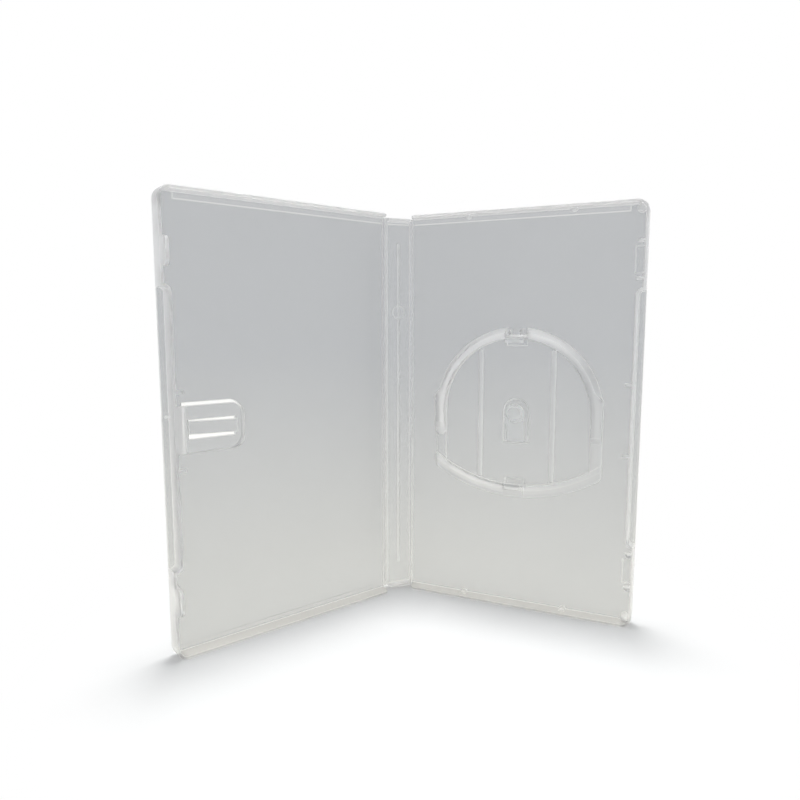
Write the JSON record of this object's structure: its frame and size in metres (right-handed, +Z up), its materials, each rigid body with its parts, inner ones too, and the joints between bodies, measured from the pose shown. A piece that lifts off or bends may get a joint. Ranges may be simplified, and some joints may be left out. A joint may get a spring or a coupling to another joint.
{
  "type": "game disc case",
  "caption": "Open book-style case of translucent plastic with living hinges, a sprung disc holder, a booklet clip and a clear outer film sleeve for a paper insert",
  "frame": {"origin": "middle of the standing case's box, on the surface that it stands on", "axes": "+Z up along the spine, back cover along X with its inside facing -Y, front cover on the -X side"},
  "size_m": [0.1616, 0.106, 0.177],
  "materials": {
    "case_plastic": "frosted translucent polypropylene, colourless with a cool grey cast",
    "clear_film": "glossy clear polypropylene film"
  },
  "bodies": {
    "back": {"back_cover": "case_plastic", "sleeve_back": "clear_film"},
    "latch": {"disc_latch": "case_plastic"},
    "tongue": {"disc_tongue": "case_plastic"},
    "spine": {"spine": "case_plastic", "sleeve_spine": "clear_film", "rear_living_hinge": "case_plastic", "front_living_hinge": "case_plastic", "sleeve_rear_fold": "clear_film", "sleeve_front_fold": "clear_film"},
    "front": {"front_cover": "case_plastic", "sleeve_front": "clear_film"},
    "clip": {"booklet_clip": "case_plastic"}
  },
  "joints": [
    {"name": "rear_hinge", "type": "hinge", "parent": "back", "child": "spine", "pos_m": [-0.02316, 0.05252, 0.0885], "axis": [0, 0, 1], "range_deg": [-46, 44], "deforming": ["rear_living_hinge", "sleeve_rear_fold"]},
    {"name": "front_hinge", "type": "hinge", "parent": "spine", "child": "front", "pos_m": [-0.03288, 0.04245, 0.0885], "axis": [0, 0, 1], "range_deg": [-16.5, 73.5], "deforming": ["front_living_hinge", "sleeve_front_fold"]},
    {"name": "latch_flex", "type": "hinge", "parent": "back", "child": "latch", "pos_m": [0.02834, 0.05197, 0.12255], "axis": [-1, 0, 0], "range_deg": [0, 9], "stiffness_Nm_per_rad": 0.05},
    {"name": "tongue_flex", "type": "hinge", "parent": "back", "child": "tongue", "pos_m": [0.02834, 0.05177, 0.0755], "axis": [-1, 0, 0], "range_deg": [0, 12.5], "stiffness_Nm_per_rad": 0.02},
    {"name": "clip_flex", "type": "hinge", "parent": "front", "child": "clip", "pos_m": [-0.07305, -0.04544, 0.0888], "axis": [0, 0, -1], "range_deg": [0, 6], "stiffness_Nm_per_rad": 0.05}
  ]
}
